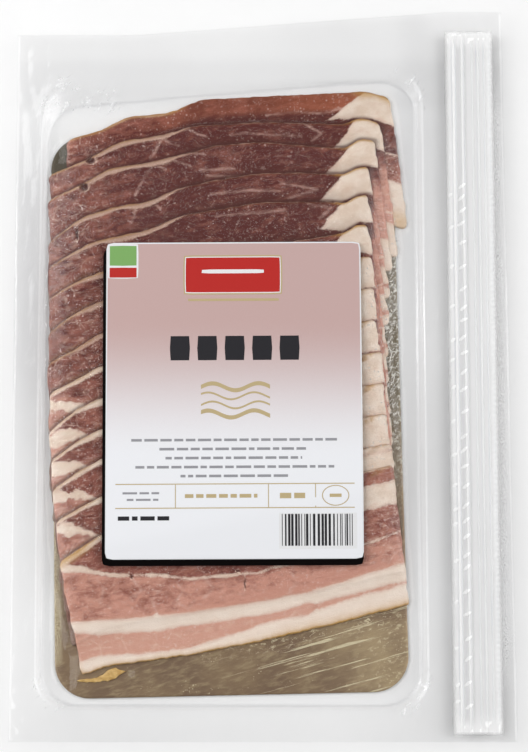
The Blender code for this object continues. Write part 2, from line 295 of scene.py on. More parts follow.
# ---------------------------------------------------------------------- material tools
class Shader:
    """A material's node tree, built by short calls."""

    def __init__(self, name):
        self.material = bpy.data.materials.new(name)
        self.material.use_nodes = True
        self.tree = self.material.node_tree
        self.tree.nodes.clear()
        self.output = self.tree.nodes.new("ShaderNodeOutputMaterial")
        self.place = self.add("ShaderNodeTexCoord").outputs["Object"]

    def add(self, kind, settings=None, **inputs):
        node = self.tree.nodes.new(kind)
        for key, value in (settings or {}).items():
            setattr(node, key, value)
        for key, value in inputs.items():
            socket = node.inputs[int(key[1:])] if key[0] == "i" and key[1:].isdigit() \
                else node.inputs[key.replace("_", " ")]
            if isinstance(value, bpy.types.NodeSocket):
                self.tree.links.new(value, socket)
            else:
                socket.default_value = value
        return node

    def attribute(self, name):
        return self.add("ShaderNodeAttribute", {"attribute_name": name}).outputs["Fac"]

    def math(self, operation, a, b=0.0, clamp=False, c=0.0):
        settings = {"operation": operation, "use_clamp": clamp}
        return self.add("ShaderNodeMath", settings, i0=a, i1=b, i2=c).outputs[0]

    def times(self, a, b):
        return self.math("MULTIPLY", a, b)

    def plus(self, a, b):
        return self.math("ADD", a, b)

    def most(self, a, b):
        return self.math("MAXIMUM", a, b)

    def range(self, value, low, high, out_low=0.0, out_high=1.0, kind="SMOOTHSTEP"):
        node = self.add("ShaderNodeMapRange", {"interpolation_type": kind}, Value=value,
                        From_Min=low, From_Max=high, To_Min=out_low, To_Max=out_high)
        return node.outputs[0]

    def noise(self, scale, detail=4.0, stretch=(1.0, 1.0, 1.0), turn=0.0, roughness=0.55,
              distortion=0.0):
        turned = self.add("ShaderNodeMapping", None, Vector=self.place,
                          Rotation=(0.0, 0.0, turn)).outputs[0]
        where = self.add("ShaderNodeMapping", None, Vector=turned, Scale=stretch).outputs[0]
        return self.add("ShaderNodeTexNoise", None, Vector=where, Scale=scale, Detail=detail,
                        Roughness=roughness, Distortion=distortion).outputs["Fac"]

    def cells(self, scale, feature="F1", stretch=(1.0, 1.0, 1.0)):
        where = self.add("ShaderNodeMapping", None, Vector=self.place, Scale=stretch).outputs[0]
        node = self.add("ShaderNodeTexVoronoi", {"feature": feature}, Vector=where, Scale=scale)
        return node.outputs["Distance"]

    def mix(self, share, a, b, blend="MIX"):
        node = self.add("ShaderNodeMix", {"data_type": "RGBA", "blend_type": blend})
        for socket, value in ((node.inputs[0], share), (node.inputs[6], a), (node.inputs[7], b)):
            if isinstance(value, bpy.types.NodeSocket):
                self.tree.links.new(value, socket)
            elif isinstance(value, tuple):
                socket.default_value = value + (1.0,)
            else:
                socket.default_value = value
        return node.outputs[2]

    def bump(self, height, strength, distance):
        return self.add("ShaderNodeBump", None, Height=height, Strength=strength,
                        Distance=distance).outputs[0]

    def gloss_share(self, normal, straight=0.04):
        """Share of mirrored light, the same from both sides of a skin."""
        facing = self.add("ShaderNodeLayerWeight", None, Blend=0.5, Normal=normal).outputs[1]
        steep = self.math("POWER", facing, 5.0)
        return self.math("MULTIPLY_ADD", steep, 1.0 - straight, c=straight)

    def surface(self, **inputs):
        node = self.add("ShaderNodeBsdfPrincipled", None, **inputs)
        self.tree.links.new(node.outputs[0], self.output.inputs["Surface"])
        return self.material

    def close(self, shader):
        self.tree.links.new(shader, self.output.inputs["Surface"])
        return self.material


# ------------------------------------------------------------------------- the slices
UPPER = [curve_through(points) for points in UPPER_EDGES]
LAST = UPPER[-1]
LAST_LOWER = curve_through(LAST_LOWER_EDGE)


def depth_curve(points):
    """How far below the last slice's upper edge a line of it lies."""
    line = curve_through(points)
    return lambda x: LAST(x) - line(x)


SEAM_DEPTH = depth_curve(SEAM)
BAND_TOP_DEPTH = depth_curve(BAND_TOP)
BAND_LOW_DEPTH = depth_curve(BAND_LOW)
RIND_DEPTH = depth_curve(RIND_TOP)


def left_end(k, depth, y):
    wobble = 0.5 * noise(y, y * 0 + k, 6.0, 31) + 0.15 * noise(y, y * 0 + k, 1.5, 34)
    return UPPER_EDGES[k][0][0] + LEFT_SHIFT + LEFT_SLANTS[k] * depth + wobble


def right_end(k, depth, y):
    wobble = 0.45 * noise(y, y * 0 + k, 3.5, 32) + 0.2 * noise(y, y * 0 + k, 1.2, 33)
    return RIGHT_ENDS[k] + RIGHT_SLANTS[k] * depth + wobble


def lower_depth(k, x):
    if k == len(UPPER_EDGES) - 1:
        ragged = 0.25 * noise(x, x * 0, 2.0, 41) + 0.15 * noise(x, x * 0, 0.8, 42)
        return LAST(x) - LAST_LOWER(x) + ragged
    return SLICE_DEPTH + 0.8 * noise(x, x * 0 + k, 9.0, 43)


def end_drop(distance, radius):
    """How far a round corner draws the edge in, at a distance from the slice's end."""
    near = np.clip(radius - distance, 0.0, radius)
    return radius - np.sqrt(np.maximum(radius ** 2 - near ** 2, 0.0))


def crown(distance):
    """Share of a slice's thickness at a distance in from its outline."""
    fall = 1.0 - np.clip(distance / EDGE_ROUND, 0.0, 1.0)
    return EDGE_SHARE + (1.0 - EDGE_SHARE) * np.sqrt(1.0 - fall ** 2)


def slice_points(k, across, along):
    """Grid of a slice: x, y, depth below its upper edge, and distance from its outline."""
    u, f = np.meshgrid(across, along, indexing="ij")
    middle = 0.5 * (UPPER_EDGES[k][0][0] + RIGHT_ENDS[k])
    depth = f * lower_depth(k, np.full_like(u, middle))
    y = UPPER[k](middle) - depth
    left = left_end(k, depth, y)
    right = right_end(k, depth, y)
    x = left + u * (right - left)
    span = lower_depth(k, x)
    ends = np.minimum(x - left, right - x)
    start = end_drop(ends, 2.0 if k else 3.0)
    finish = span - end_drop(ends, 3.0 if k < len(UPPER) - 1 else 0.8)
    ragged = 0.22 * noise(x, x * 0 + k, 2.6, 51) + 0.12 * noise(x, x * 0 + k, 0.9, 52)
    depth = start + ragged * (1.0 - f) + f * (finish - start)
    y = UPPER[k](x) - depth
    rim = np.minimum.reduce([f * (finish - start), (1.0 - f) * (finish - start),
                             x - left, right - x])
    return x, y, depth, rim


def slice_rows(fine_depth, step, coarse):
    """Shares of a slice's depth: close rows in its visible strip, wider ones below."""
    rows = [0.0, 0.15, 0.4, 0.7]
    rows += list(np.arange(1.1, fine_depth, step))
    rows += list(np.arange(fine_depth, SLICE_DEPTH - 1.2, coarse))
    rows += [SLICE_DEPTH - d for d in (1.2, 0.8, 0.45, 0.2, 0.0)]
    return np.array(rows) / SLICE_DEPTH


def slice_columns(count):
    """Shares of a slice's length, closer together at both ends."""
    ends = np.array([0.0, 0.001, 0.0025, 0.005, 0.008])
    inner = np.linspace(0.012, 0.988, count)
    return np.concatenate([ends, inner, 1.0 - ends[::-1]])


def near_line(x, y, points):
    """Distance from a line of short straight stretches."""
    best = np.full_like(x, 1e3)
    for (ax, ay), (bx, by) in zip(points[:-1], points[1:]):
        length = (bx - ax) ** 2 + (by - ay) ** 2
        t = np.clip(((x - ax) * (bx - ax) + (y - ay) * (by - ay)) / length, 0.0, 1.0)
        best = np.minimum(best, np.hypot(x - ax - t * (bx - ax), y - ay - t * (by - ay)))
    return best


def fat_distance(k, x, y, depth, right):
    """Distance in mm into fat, positive inside it, from the slice's cross-section."""
    number = k + 1
    jitter = 0.35 * noise(x, y, 2.4, 60 + k) + 0.2 * noise(x, y, 1.0, 80 + k)
    scale = 1.14 if number == 1 else 1.0
    d = depth * scale
    rim_width = rim_of_fat(number, x)
    parts = [rim_width - depth + 0.5 * jitter]
    lobe = np.minimum(11.0 + (1.5 if number == 1 else 1.0) * depth - right, 12.4 - depth)
    if number == 14:
        lobe = np.minimum(np.minimum(depth - 6.5, 17.0 - depth), 20.0 - right)
    if number == 13:
        lobe = np.minimum(np.minimum(depth - 3.0, 13.0 - depth), 13.0 + depth - right)
    if 7 <= number <= 12:
        lobe = np.minimum(14.0 + depth - right, 14.0 - depth)
    parts.append(lobe + jitter)
    shift = SEAM_SHIFTS.get(number, 9.0)
    half = 0.35 + 0.45 * ramp(x, 20.0, -60.0) + 1.1 * ramp(x, -72.0, -86.0)
    if 8 < number < 14:
        half = half + 0.9 * ramp(x, -70.0, -84.0)
    half = half * (1.0 + 0.5 * noise(x, y, 5.0, 97) + 0.45 * noise(x, y, 1.6, 96))
    if number <= 8:
        half = half - 3.0 * ramp(x, 44.0 if number == 1 else -46.0, -60.0)
    wave = 0.5 * noise(x, y * 0, 7.0, 98)
    parts.append(half - np.abs(d - SEAM_DEPTH(x) - shift + wave))
    ragged = 0.6 * noise(x, y * 0, 5.0, 99) + 0.5 * np.abs(noise(x, y * 0, 2.2, 100))
    notch = 1.1 * np.exp(-((x + 44.2 + 0.8 * noise(y, y * 0, 1.5, 101)) / 1.2) ** 2)
    parts.append(np.minimum(d - BAND_TOP_DEPTH(x) + notch + 0.3 * ragged,
                            BAND_LOW_DEPTH(x) - d + ragged))
    parts.append(d - RIND_DEPTH(x) + ragged)
    if number <= 3:
        parts.append(d - BAND_TOP_DEPTH(x) - 2.0 + ragged)
    return np.maximum.reduce(parts)


def rim_of_fat(number, x):
    """Width of the cream rim along a slice's upper edge."""
    if number == 1:
        return 1.3 * ramp(x, -76.0, -66.0) * ramp(x, -34.0, -44.0)
    if number == 14:
        return 1.0 + 2.2 * ramp(x, -64.0, -72.0)
    swell = 1.0 + 0.5 * np.sin(x * 0.23 + number * 1.7)
    width = (1.3 + 0.9 * ramp(x, -86.0, -70.0)) * (0.75 + 0.35 * swell)
    if number <= 8:
        width = width * (0.35 + 0.65 * ramp(x, -90.0, -76.0))
        return width * (0.05 + 0.95 * ramp(x, -30.0, -44.0))
    return width + 0.5


def lean_tone(k, x, y, depth, left):
    """0 for the darkest lean, 1 for the palest."""
    number = k + 1
    below_seam = ramp(depth - SEAM_DEPTH(x), -1.0, 2.0)
    if number == 14:
        tone = 0.46 + 0.37 * below_seam + 0.36 * ramp(depth, 34.0, 46.0)
        tone = tone + 0.06 * ramp(x, -20.0, 40.0)
    elif number >= 9:
        tone = 0.36 + 0.30 * below_seam
    else:
        tone = 0.01 + 0.24 * ramp(x, -40.0, -80.0) + 0.10 * ramp(x, 10.0, 60.0)
    if number == 1:
        tone = tone + 0.18 * ramp(depth, 9.0, 6.0) + 0.35 * ramp(depth, 24.0, 28.0)
    if 2 <= number <= 6:
        tone = tone + 0.3 * ramp(depth, 20.0, 30.0)
    if 2 <= number <= 12:
        tone = tone + 0.62 * ramp(x, 44.0, 50.0) * ramp(depth, 14.0, 22.0)
    tone = tone + 0.16 * ramp(left, 7.0, 1.0)
    cloud = 0.10 * noise(x, y, 9.0, 120 + k) + 0.07 * noise(x * 0.35, y, 1.8, 140 + k)
    return tone + cloud


def smoke_marks(k, x, y, depth, left, right):
    """Golden and brown marks along the smoked edge, and a brown line just above the next slice's
    upper edge towards the left ends.
    """
    number = k + 1
    uneven = 0.5 + 0.5 * noise(x, y, 3.0, 160 + k)
    brown = ramp(depth, 1.5, 0.1) * (0.45 + 0.55 * uneven)
    brown = brown * (0.35 + 0.65 * ramp(x, -30.0, -45.0) + 0.5 * ramp(x, 25.0, 36.0))
    gold = np.zeros_like(x)
    if number == 1:
        gold = ramp(depth + 1.5 * uneven, 5.5, 0.5) * ramp(right, 20.0, 11.0)
        gold = gold + ramp(depth, 2.0, 0.4) * ramp(x, -30.0, -40.0) * 0.7
        gold = gold + ramp(depth, 48.0, 54.0) * 0.6 * ramp(right, 9.0, 3.0)
    elif number <= 6:
        gold = ramp(depth, 1.9, 0.2) * ramp(right, 18.0, 10.0)
        gold = gold + 0.5 * ramp(depth, 1.6, 0.2) * ramp(x, -44.0, -60.0)
    else:
        gold = 0.45 * ramp(depth, 1.8, 0.2) * ramp(left, 26.0, 14.0)
        rising = depth - 1.7 - 0.32 * (right - 7.0)
        patch = ramp(np.hypot((right - 7.5) * 0.75, rising * 1.9), 3.8, 1.2)
        patch = patch * (0.55 + 0.45 * noise(x, y, 1.4, 170))
        gold = gold + patch * (0.85 if number < 13 else 0.3)
        brown = brown + 0.8 * patch * ramp(right, 4.5, 8.5) * (number > 6)
        gold = gold + 0.5 * ramp(depth, 1.6, 0.2) * ramp(right, 16.0, 8.0) * uneven
    # A brown line just above the next slice's upper edge, strongest towards the left ends.
    if number >= 5:
        nearly = UPPER[min(k + 1, len(UPPER) - 1)](x)
        above_next = y - nearly if number < 14 else np.full_like(y, 50.0)
        brown = brown + 0.9 * ramp(above_next, 2.6, 0.5) * ramp(left, 28.0, 10.0) * uneven
    if number == 14:
        gold = gold + ramp(left, 17.0, 8.0) * ramp(depth, 5.5, 1.0) * 0.8
        edge = lower_depth(k, x) - depth
        gold = gold + 0.30 * ramp(edge, 5.5, 1.0) * ramp(x, -30.0, 30.0)
        gold = gold + 0.50 * ramp(edge, 2.6, 0.2) + 0.6 * ramp(edge, 1.0, 0.0)
        gold = gold + 0.8 * ramp(edge, 6.0, 1.0) * ramp(left, 3.0, 0.5)
    return np.clip(gold, 0.0, 1.0), np.clip(brown, 0.0, 1.0)


def vein_holes(number, x, y, fat):
    """Marks the dark veins, and the rings of fat round them."""
    dark = np.zeros_like(x)
    for owner, cx, cy, half_x, half_y in VEINS:
        if owner == number:
            reach = np.hypot((x - cx) / half_x, (y - cy) / half_y)
            dark = np.maximum(dark, ramp(reach, 1.25, 0.75))
            fat = np.maximum(fat, np.where(reach < 1.9, 0.45 - 2.2 * np.abs(reach - 1.35), fat))
            fat = np.where(reach < 1.05, -1.0, fat)
    return dark, fat


def fat_lines_and_painted_streaks(number, x, y):
    """The thin pale lines: fat that branches off a rim, and painted highlights that stand for pale
    streaks of light on the film.
    """
    fat_and_painted_streaks = np.zeros_like(x)
    for owner, *points in FAT_LINES_AND_STREAKS:
        if owner == number:
            away = near_line(x, y, points) + 0.25 * noise(x, y, 1.3, 190)
            fat_and_painted_streaks = np.maximum(fat_and_painted_streaks, ramp(away, 0.85, 0.15))
    return fat_and_painted_streaks


def smoked_tint(number, x, depth, right):
    """Where smoke has turned the lean orange."""
    warm = np.zeros_like(x)
    if number == 1:
        warm = ramp(depth, 10.5, 6.5) * (0.45 + 0.5 * ramp(x, -10.0, 34.0))
        warm = warm * ramp(x, -62.0, -34.0)
        warm = warm + 0.35 * ramp(depth, 27.0, 32.0)
    if number >= 13:
        warm = warm + 0.6 * ramp(right, 16.0, 5.0) * ramp(depth, 9.0, 4.0)
    return warm


def crease_shade(k, x, y):
    """Painted shade: the dark line just above the next slice's upper edge, and a broad painted
    darkening above it across the middle of the top slices.
    """
    number = k + 1
    crease = np.zeros_like(x)
    if k + 1 < len(UPPER):
        above = y - UPPER[k + 1](x)
        reach = ramp(x, RIGHT_ENDS[k + 1] + 3.0, RIGHT_ENDS[k + 1])
        middle = ramp(np.abs(x - 2.0), 50.0, 26.0) * (number <= 5)
        crease = ramp(above, 1.9, 0.4) * 0.8 + 0.45 * middle * ramp(above, 8.0, 0.0)
        crease = crease * reach
        if 6 <= number <= 13:
            crease = crease * (1.0 - ramp(x, 30.0, 40.0))
    return crease


def paint_slice(k, x, y, depth):
    """The attributes that drive the meat material."""
    left = x - left_end(k, depth, y)
    right = right_end(k, depth, y) - x
    number = k + 1
    fat = fat_distance(k, x, y, depth, right)
    gold, brown = smoke_marks(k, x, y, depth, left, right)
    dark, fat = vein_holes(number, x, y, fat)
    marble = 0.10 + 0.45 * ramp(x, -58.0, -78.0) * (number < 14) + 0.15 * (number > 6)
    if number == 14:
        marble = 0.35 + 0.55 * ramp(depth - BAND_LOW_DEPTH(x), -2.0, 0.0)
    marble = marble + 0.6 * ramp(x, 44.0, 50.0) * ramp(depth, 14.0, 22.0)
    return {
        "marble": np.clip(marble + 0.0 * x, 0.0, 1.0),
        # crease is painted shade just above the next slice's upper edge
        "crease": np.clip(crease_shade(k, x, y), 0.0, 1.0),
        "fat": np.clip(0.5 + fat / 4.0, 0.0, 1.0),
        "tone": np.clip(lean_tone(k, x, y, depth, left), 0.0, 1.2),
        "gold": gold,
        "brown": brown,
        "dark": dark,
        "fat_and_painted_streaks": fat_lines_and_painted_streaks(number, x, y),
        "pale": 0.6 * ramp(depth - BAND_TOP_DEPTH(x), -1.5, 0.5) * (number == 14),
        "rim": ramp(depth, 5.0, 2.5) * ramp(right, 14.0, 26.0) * (number < 9),
        "warm": np.clip(smoked_tint(number, x, depth, right), 0.0, 1.0),
    }


def make_slices(material, heights):
    """Lays the slices one on the other and returns the height map over all of them."""
    grid_x, grid_y = np.meshgrid(GRID_X, GRID_Y, indexing="ij")
    last = len(UPPER_EDGES) - 1
    for k in range(last + 1):
        resting = np.maximum(heights - PRESSED, blur(heights, SETTLE_ROUNDS))
        if k == last:
            rows = slice_rows(SLICE_DEPTH - 1.5, 0.55, 0.55)
            columns = slice_columns(260)
        else:
            rows = slice_rows(17.0, 0.55, 0.8 if k < 3 else 1.5)
            columns = slice_columns(210)
        x, y, depth, rim = slice_points(k, columns, rows)
        look = paint_slice(k, x, y, depth)
        base = sample(resting, x, y) + 0.02
        relief = 0.09 * noise(x, y, 6.0, 200 + k) + 0.05 * noise(x, y, 2.2, 220 + k)
        relief = relief + 0.12 * np.clip(look["fat"] - 0.5, -0.2, 0.2)
        relief = relief - 0.35 * look["dark"]
        top = base + SLICE_THICKNESS * crown(rim) + relief * np.clip(rim / 1.5, 0.0, 1.0)
        piece = closed_sheet(f"bacon_slice_{k + 1:02d}", x, y, top, base, look)
        finish_piece(piece, material)
        depth_map = UPPER[k](grid_x) - grid_y
        ends = np.minimum(grid_x - left_end(k, depth_map, grid_y),
                          right_end(k, depth_map, grid_y) - grid_x)
        start = end_drop(np.clip(ends, 0.0, None), 2.0)
        edge = np.minimum.reduce([depth_map - start, lower_depth(k, grid_x) - start - depth_map,
                                  ends])
        heights = np.where(edge > 0.0, resting + SLICE_THICKNESS * crown(edge), heights)
    return heights


def widened(heights):
    """Each point raised to the highest of its neighbours, so a film over it clears them."""
    padded = np.pad(heights, 1, mode="edge")
    columns, rows = heights.shape
    return np.maximum.reduce([padded[i:i + columns, j:j + rows]
                              for i in range(3) for j in range(3)])


def lean_colour(s, fibre, fine, cloud):
    """Red muscle with paler fibres, streaks and threads, and pale specks and white flecks that are
    partly marbling and partly painted glints of the film on the wet meat.
    """
    tone = s.attribute("tone")
    tone = s.plus(tone, s.range(fibre, 0.3, 0.7, -0.20, 0.20, "LINEAR"))
    tone = s.plus(tone, s.range(cloud, 0.3, 0.7, -0.09, 0.10, "LINEAR"))
    blotch = s.noise(330.0, 3.0, stretch=(0.6, 1.0, 1.0), turn=-0.2, distortion=0.8)
    tone = s.plus(tone, s.range(blotch, 0.35, 0.65, -0.15, 0.13, "LINEAR"))
    tone = s.plus(tone, s.range(fine, 0.3, 0.7, -0.09, 0.09, "LINEAR"))
    lean = s.mix(s.range(tone, 0.0, 0.5, kind="LINEAR"), (0.094, 0.014, 0.010),
                 (0.285, 0.094, 0.066))
    lean = s.mix(s.range(tone, 0.5, 1.0, kind="LINEAR"), lean, (0.600, 0.290, 0.215))
    lean = s.mix(s.times(s.attribute("warm"), 0.55), lean, (0.430, 0.120, 0.050))
    # Pale specks and white flecks: partly marbling, partly painted glints where the film clings to
    # the wet meat.
    specks = s.range(s.cells(520.0), 0.30, 0.12)
    some = s.range(s.noise(260.0, 2.0), 0.50, 0.62)
    specks = s.times(specks, some)
    lean = s.mix(s.times(specks, 0.5), lean, (0.62, 0.45, 0.40))
    marble = s.attribute("marble")
    flecks = s.range(s.noise(950.0, 2.0), 0.60, 0.69)
    flecks = s.times(flecks, s.range(s.noise(110.0, 2.0), 0.36, 0.60))
    flecks = s.times(flecks, s.range(marble, 0.1, 0.7, 0.30, 0.85, "LINEAR"))
    lean = s.mix(flecks, lean, (0.70, 0.52, 0.46))
    streaks = s.noise(640.0, 5.0, stretch=(0.40, 1.0, 1.0), turn=-0.2, roughness=0.7)
    streaks = s.times(s.range(streaks, 0.50, 0.72), marble)
    lean = s.mix(s.times(streaks, 0.75), lean, (0.72, 0.50, 0.40))
    threads = s.cells(150.0, "DISTANCE_TO_EDGE", stretch=(0.6, 1.0, 1.0))
    threads = s.times(s.range(threads, 0.035, 0.006), marble)
    threads = s.times(threads, s.range(s.noise(130.0, 3.0), 0.48, 0.60))
    lean = s.mix(s.times(threads, 0.55), lean, (0.74, 0.52, 0.43))
    return lean


def meat_material():
    s = Shader("cured_meat")
    fibre = s.noise(420.0, 6.0, stretch=(0.30, 1.0, 1.0), turn=-0.2, roughness=0.66)
    fine = s.noise(1900.0, 3.0)
    cloud = s.noise(160.0, 3.0)
    lean = lean_colour(s, fibre, fine, cloud)
    fat_tone = s.mix(s.range(cloud, 0.35, 0.65), (0.745, 0.590, 0.470), (0.83, 0.700, 0.590))
    blush = s.times(s.range(fibre, 0.48, 0.70), 0.45)
    fat_tone = s.mix(blush, fat_tone, (0.700, 0.480, 0.370))
    fat_tone = s.mix(s.range(fine, 0.55, 0.80), fat_tone, (0.88, 0.77, 0.68))
    fat_tone = s.mix(s.times(s.attribute("rim"), 0.75), fat_tone,
                     (0.330, 0.165, 0.115))
    fat_tone = s.mix(s.attribute("pale"), fat_tone, (0.900, 0.775, 0.675))
    lean = s.mix(s.times(s.attribute("pale"), 0.5), lean, (0.740, 0.460, 0.350))
    # Painted highlights in part: some pale lines are streaks of light on the film, the rest fat
    # branching off the rims.
    fat_and_painted_streaks = s.times(s.attribute("fat_and_painted_streaks"), s.range(fibre, 0.38, 0.62, 0.12, 0.56))
    lean = s.mix(fat_and_painted_streaks, lean, (0.640, 0.420, 0.350))
    edge = s.plus(s.attribute("fat"), s.range(fine, 0.2, 0.8, -0.14, 0.14, "LINEAR"))
    edge = s.plus(edge, s.range(fibre, 0.3, 0.7, -0.09, 0.09, "LINEAR"))
    fat = s.range(edge, 0.38, 0.64)
    fat_tone = s.mix(s.range(edge, 0.95, 0.60, 0.0, 0.40), fat_tone, (0.660, 0.440, 0.345))
    colour = s.mix(fat, lean, fat_tone)
    gold = s.times(s.attribute("gold"), s.range(fibre, 0.25, 0.6, 0.65, 1.0))
    colour = s.mix(gold, colour, (0.560, 0.315, 0.085))
    brown = s.times(s.attribute("brown"), s.range(fine, 0.25, 0.6, 0.55, 0.9))
    colour = s.mix(brown, colour, (0.270, 0.115, 0.038))
    # Painted shade: darkens each slice just above the next slice's upper edge.
    colour = s.mix(s.times(s.attribute("crease"), 0.8), colour,
                   (0.070, 0.018, 0.012))
    colour = s.mix(s.times(s.attribute("dark"), 0.85), colour, (0.040, 0.008, 0.006))
    rough = s.range(fat, 0.0, 1.0, 0.42, 0.36, "LINEAR")
    height = s.plus(s.times(fibre, 0.7), s.times(fine, 0.4))
    normal = s.bump(height, 0.8, 0.0006)
    return s.surface(Base_Color=colour, Roughness=rough, Normal=normal, IOR=1.42,
                     Specular_IOR_Level=0.35, Subsurface_Weight=0.0)


# --------------------------------------------------------------------------- the board
BOARD_CENTRE = (-15.1, -17.5)
BOARD_HALF = (75.0, 122.0)
BOARD_RADIUS = 15.0
BOARD_TURN = math.radians(1.25)


def board_sides(x, y):
    """Distance in from the board's outline."""
    cos, sin = math.cos(BOARD_TURN), math.sin(BOARD_TURN)
    across = (x - BOARD_CENTRE[0]) * cos + (y - BOARD_CENTRE[1]) * sin
    along = -(x - BOARD_CENTRE[0]) * sin + (y - BOARD_CENTRE[1]) * cos
    sides = [BOARD_HALF[0] - across, BOARD_HALF[0] + across,
             BOARD_HALF[1] - along, BOARD_HALF[1] + along]
    return inside_distance(sides, BOARD_RADIUS)


def make_board(material):
    across = np.concatenate([[-1.0, -0.9965], lines((-0.985, 0.985, 0.016)), [0.9965, 1.0]])
    along = np.concatenate([[-1.0, -0.998], lines((-0.99, 0.99, 0.011)), [0.998, 1.0]])
    x, y = rounded_grid(BOARD_CENTRE, BOARD_HALF, BOARD_RADIUS, BOARD_TURN, across, along)
    inset = board_sides(x, y)
    lift = 0.12 * noise(x, y, 26.0, 300) + 0.05 * noise(x, y, 7.0, 301)
    lift = (lift + 0.10) * np.clip(inset / 4.0, 0.0, 1.0)
    round_edge = 0.16 * (1.0 - np.sqrt(1.0 - (1.0 - np.clip(inset / 0.5, 0.0, 1.0)) ** 2))
    below = LAST_LOWER(x) - y
    spark = ramp(below, 9.0, 1.0) * ramp(x, -50.0, 10.0) * ramp(below, -3.0, 0.0)
    spark = spark * (0.6 + 0.5 * noise(x, y, 7.0, 302))
    spark = np.clip(spark + 0.55 * ramp(x, 30.0, 58.0) * ramp(y, -100.0, -112.0), 0.0, 1.0)
    left_side = BOARD_CENTRE[0] - BOARD_HALF[0] - (y - BOARD_CENTRE[1]) * math.sin(BOARD_TURN)
    look = {
        # Where painted glints go: glitter along the left side, white glints of the film's crinkles
        # beside the slices' right ends, lit scratches near the bottom and sparkles below the last
        # slice.
        "bright": ramp(x - left_side, 3.8, 1.8) * ramp(y, -132.0, -118.0) * ramp(y, 40.0, -10.0),
        "crinkle_glint_zone": ramp(x, 46.0, 52.0) * ramp(y, -75.0, -10.0) * ramp(y, 62.0, 50.0),
        "scratch": ramp(x, -40.0, 30.0) * ramp(y, -95.0, -106.0),
        "shade": ramp(y, 60.0, 90.0) * ramp(x, -60.0, -80.0),
        "sunlit": 0.7 * ramp(x, 10.0, 55.0) * ramp(y, -100.0, -112.0),
        "spark": spark,
    }
    board = closed_sheet("gold_board", x, y, BOARD_TOP + lift - round_edge,
                         BOARD_BOTTOM + lift, look, sharp=60)
    finish_piece(board, material)


def board_shine(s, crinkle_glint_zone):
    """Painted glints on the gold face: specks, dense grit, creases and long scratches that are
    painted bright.
    """
    grit = s.noise(2600.0, 2.0)
    flecks = s.range(s.cells(900.0), 0.24, 0.08)
    chance = s.range(s.noise(120.0, 3.0), 0.56, 0.66)
    flecks = s.times(flecks, chance)
    crumbs = s.range(s.noise(620.0, 6.0, stretch=(0.6, 1.0, 1.0), turn=-0.3, roughness=0.75,
                             distortion=0.5), 0.54, 0.62)
    flecks = s.most(flecks, s.times(crumbs, s.attribute("spark")))
    dense = s.times(s.range(grit, 0.42, 0.58), s.attribute("bright"))
    glints = s.noise(900.0, 5.0, stretch=(1.0, 0.6, 1.0), turn=0.6, roughness=0.7, distortion=0.6)
    glints = s.times(s.range(glints, 0.50, 0.60), crinkle_glint_zone)
    folds = s.cells(230.0, "DISTANCE_TO_EDGE", stretch=(1.0, 0.75, 1.0))
    folds = s.times(s.range(folds, 0.06, 0.01), crinkle_glint_zone)
    folds = s.times(folds, s.range(s.noise(190.0, 3.0), 0.45, 0.6))
    scored = s.noise(330.0, 5.0, stretch=(0.055, 1.7, 1.0), turn=-0.27, roughness=0.65)
    scored = s.times(s.range(scored, 0.59, 0.64), s.attribute("scratch"))
    shine = s.most(s.most(flecks, dense), s.most(folds, scored))
    shine = s.most(shine, glints)
    return shine


def board_material():
    s = Shader("gold_board")
    cloud = s.noise(45.0, 4.0)
    drift = s.noise(520.0, 5.0, stretch=(0.35, 1.0, 1.0), turn=-0.32)
    crinkle_glint_zone = s.attribute("crinkle_glint_zone")
    base = s.mix(s.range(cloud, 0.35, 0.68), (0.215, 0.138, 0.085), (0.285, 0.195, 0.112))
    base = s.mix(s.range(drift, 0.42, 0.78), base, (0.380, 0.285, 0.165))
    sunlit = s.times(s.attribute("sunlit"), s.range(cloud, 0.3, 0.7, 0.35, 1.0))
    base = s.mix(sunlit, base, (0.520, 0.400, 0.235))
    base = s.mix(s.attribute("shade"), base, (0.075, 0.060, 0.036))
    base = s.mix(s.times(crinkle_glint_zone, 0.7), base, (0.170, 0.155, 0.110))
    shine = board_shine(s, crinkle_glint_zone)
    # Painted glints: the shine mask lifts the gold to pale gold, and nearly to white where the
    # film crinkles.
    bare = s.mix(crinkle_glint_zone, (0.80, 0.71, 0.48), (0.86, 0.84, 0.78))
    colour = s.mix(s.times(shine, 0.85), base, bare)
    height = s.plus(s.times(drift, 0.8), s.times(shine, 0.5))
    normal = s.bump(height, 0.5, 0.0006)
    return s.surface(Base_Color=colour, Metallic=0.35, Roughness=0.42, Normal=normal)


FLAKE_SPINE = curve_through(((-77.5, -133.4), (-70.0, -133.2), (-63.0, -130.4),
                             (-57.2, -129.3)), 1.0)
FLAKE_TOP = 2.1


def raised_by_flake(contents):
    """The contents' height map with room under the film for the flake of rind."""
    x, y = np.meshgrid(GRID_X, GRID_Y, indexing="ij")
    near = (np.abs(y - FLAKE_SPINE(x)) < 3.0) & (x > -79.0) & (x < -56.0)
    return np.where(near, np.maximum(contents, FLAKE_TOP), contents)


def make_rind_flake(material):
    """The torn flake of golden rind that hangs off the last slice's lower left corner."""
    u, f = np.meshgrid(np.linspace(0.0, 1.0, 60), np.linspace(-1.0, 1.0, 12), indexing="ij")
    x = -78.0 + 21.0 * u
    half = (0.7 + 1.7 * np.exp(-((u - 0.68) / 0.2) ** 2)) * np.clip(u / 0.06, 0.3, 1.0)
    half = half * np.clip((1.0 - u) / 0.22, 0.05, 1.0) + 0.25 * noise(x, u * 0, 1.1, 310)
    y = FLAKE_SPINE(x) + f * np.maximum(half, 0.08)
    base = BOARD_TOP + 0.32 + 0.12 * noise(x, y, 5.0, 311)
    top = base + 0.25 + 0.3 * (1.0 - f ** 2)
    flake = closed_sheet("rind_flake", x, y, top, base)
    finish_piece(flake, material)


